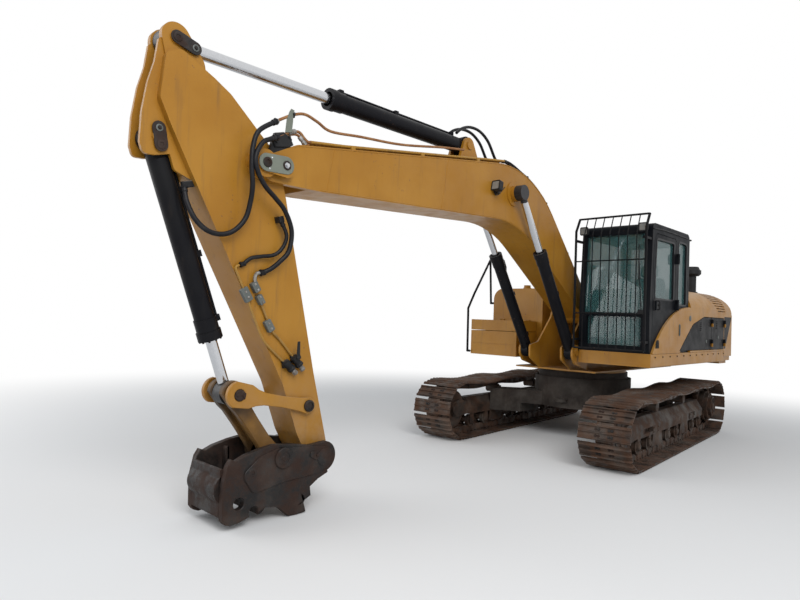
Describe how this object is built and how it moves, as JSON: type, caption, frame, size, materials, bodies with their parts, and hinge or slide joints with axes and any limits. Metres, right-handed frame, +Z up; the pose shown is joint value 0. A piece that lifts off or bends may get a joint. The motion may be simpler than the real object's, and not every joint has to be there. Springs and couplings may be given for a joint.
{
  "type": "crawler excavator",
  "caption": "Crawler excavator with a one-piece boom, stick, hydraulic quick coupler, guarded cab and steel tracks, parked with its arm out.",
  "frame": {"origin": "centre of the machine's box at ground level", "axes": "+X forward along the boom, +Y to the cab side, +Z up"},
  "size_m": [9.5589, 3.2675, 3.9123],
  "materials": {
    "yellow_paint": "gloss, faded",
    "black_paint": "satin",
    "cab_paint": "satin",
    "cylinder_paint": "satin",
    "dark_steel": "matt, dusty",
    "undercarriage_steel": "rusty, dusty",
    "track_steel": "rusty, polished bolts",
    "worn_steel": "worn",
    "rod_chrome": "polished",
    "engine_iron": "painted",
    "glass": "clear, green tint",
    "seat_fabric": "woven",
    "black_plastic": "moulded",
    "lamp_housing": "moulded",
    "hose_rubber": "matt",
    "pipe_steel": "painted, rubbed"
  },
  "bodies": {
    "undercarriage": {"carbody": "dark_steel", "track_frame_left": "undercarriage_steel", "track_frame_right": "undercarriage_steel", "track_left": "track_steel", "track_right": "track_steel", "idler_left": "undercarriage_steel", "idler_right": "undercarriage_steel", "sprocket_left": "undercarriage_steel", "sprocket_right": "undercarriage_steel", "rollers_left": "undercarriage_steel", "rollers_right": "undercarriage_steel", "swing_bearing": "dark_steel"},
    "house": {"upper_frame": "yellow_paint", "deck": "yellow_paint", "counterweight": "yellow_paint", "engine_block": "engine_iron", "hood": "yellow_paint", "rear_corners": "black_paint", "side_panel_left": "yellow_paint", "fuel_tank": "yellow_paint", "storage_box": "yellow_paint", "handrail": "black_paint", "precleaner": "black_plastic", "cab_shell": "cab_paint", "cab_glass": "glass", "seat": "seat_fabric", "console": "black_plastic", "front_guard": "black_paint", "cab_lamps": "lamp_housing"},
    "hood_lid": {"hood_lid": "yellow_paint"},
    "side_door_front": {"side_door_front": "black_paint"},
    "side_door_rear": {"side_door_rear": "black_paint"},
    "pump_door": {"pump_door": "black_paint"},
    "box_lid": {"box_lid": "yellow_paint"},
    "cab_door": {"cab_door": "cab_paint", "door_glass": "glass"},
    "boom": {"boom": "yellow_paint", "boom_lines": "pipe_steel", "tip_pipes": "pipe_steel", "boom_hoses": "hose_rubber", "boom_lamp": "lamp_housing"},
    "boom_barrels": {"boom_barrels": "cylinder_paint"},
    "boom_rods": {"boom_rods": "rod_chrome"},
    "stick_barrel": {"stick_barrel": "cylinder_paint"},
    "stick_rod": {"stick_rod": "rod_chrome"},
    "stick": {"stick": "yellow_paint", "stick_lines": "pipe_steel", "arm_hoses": "hose_rubber"},
    "bucket_barrel": {"bucket_barrel": "cylinder_paint"},
    "bucket_rod": {"bucket_rod": "rod_chrome"},
    "guide_links": {"guide_links": "yellow_paint"},
    "power_link": {"power_link": "worn_steel"},
    "coupler": {"coupler_body": "worn_steel", "coupler_latch": "worn_steel"}
  },
  "joints": [
    {"name": "swing", "type": "hinge", "parent": "undercarriage", "child": "house", "pos_m": [-2.0109, 0, 0.88], "axis": [0, 0, 1], "continuous": true},
    {"name": "boom_lift", "type": "hinge", "parent": "house", "child": "boom", "pos_m": [-1.7129, 0, 1.804], "axis": [0, -1, 0], "range_deg": [-47, 42]},
    {"name": "boom_barrel_turn", "type": "hinge", "parent": "house", "child": "boom_barrels", "pos_m": [-0.9909, 0, 1.264], "axis": [0, -1, 0], "range_deg": [-47.44, 42.44]},
    {"name": "boom_rod_slide", "type": "slide", "parent": "boom_barrels", "child": "boom_rods", "axis": [0.5604, 0, 0.8282], "range_m": [-0.6711, 0.5999]},
    {"name": "stick_swing", "type": "hinge", "parent": "boom", "child": "stick", "pos_m": [3.87199, 0, 2.8391], "axis": [0, -1, 0], "range_deg": [-28, 80]},
    {"name": "stick_barrel_turn", "type": "hinge", "parent": "boom", "child": "stick_barrel", "pos_m": [1.07188, 0, 3.65244], "axis": [0, -1, 0], "range_deg": [-3.23, 8.31]},
    {"name": "stick_rod_slide", "type": "slide", "parent": "stick_barrel", "child": "stick_rod", "axis": [1, 0, -0.007], "range_m": [-1.2859, 0.4514]},
    {"name": "coupler_curl", "type": "hinge", "parent": "stick", "child": "coupler", "pos_m": [3.17591, 0, 0.44317], "axis": [0, -1, 0], "range_deg": [-133, 42]},
    {"name": "guide_link_turn", "type": "hinge", "parent": "stick", "child": "guide_links", "pos_m": [3.31081, 0, 0.87883], "axis": [0, -1, 0], "range_deg": [-82.96, 26.54]},
    {"name": "power_link_turn", "type": "hinge", "parent": "guide_links", "child": "power_link", "pos_m": [3.97871, 0, 1.01281], "axis": [0, -1, 0], "range_deg": [-16.63, 51.57]},
    {"name": "bucket_barrel_turn", "type": "hinge", "parent": "stick", "child": "bucket_barrel", "pos_m": [4.66806, 0, 2.88377], "axis": [0, -1, 0], "range_deg": [-0.58, 0.76]},
    {"name": "bucket_rod_slide", "type": "slide", "parent": "bucket_barrel", "child": "bucket_rod", "axis": [-0.3457, 0, -0.9383], "range_m": [-0.2504, 0.7886]},
    {"name": "cab_door_hinge", "type": "hinge", "parent": "house", "child": "cab_door", "pos_m": [-1.8809, 1.412, 2], "axis": [0, 0, 1], "range_deg": [0, 150]},
    {"name": "front_service_door_hinge", "type": "hinge", "parent": "house", "child": "side_door_front", "pos_m": [-3.3369, 1.422, 1.5], "axis": [0, 0, 1], "range_deg": [0, 100]},
    {"name": "rear_service_door_hinge", "type": "hinge", "parent": "house", "child": "side_door_rear", "pos_m": [-3.9629, 1.422, 1.5], "axis": [0, 0, 1], "range_deg": [0, 100]},
    {"name": "pump_door_hinge", "type": "hinge", "parent": "house", "child": "pump_door", "pos_m": [-3.8549, -1.422, 1.5], "axis": [0, 0, -1], "range_deg": [0, 100]},
    {"name": "hood_lid_hinge", "type": "hinge", "parent": "house", "child": "hood_lid", "pos_m": [-2.9509, 0, 2.2173], "axis": [0, 1, 0], "range_deg": [0, 65]},
    {"name": "box_lid_hinge", "type": "hinge", "parent": "house", "child": "box_lid", "pos_m": [-1.5366, 0, 1.681], "axis": [0, -1, 0], "range_deg": [0, 80]}
  ],
  "couplings": [
    {"joint": "boom_barrel_turn", "follows": "boom_lift", "ratio": 0.99869},
    {"joint": "boom_rod_slide", "follows": "boom_lift", "m_per_rad": 0.81564},
    {"joint": "stick_barrel_turn", "follows": "stick_swing", "ratio": 0.09766},
    {"joint": "stick_rod_slide", "follows": "stick_swing", "m_per_rad": -0.91951},
    {"joint": "guide_link_turn", "follows": "coupler_curl", "ratio": 0.62},
    {"joint": "power_link_turn", "follows": "coupler_curl", "ratio": -0.384},
    {"joint": "bucket_barrel_turn", "follows": "coupler_curl", "ratio": -0.00195},
    {"joint": "bucket_rod_slide", "follows": "coupler_curl", "m_per_rad": -0.33886}
  ]
}
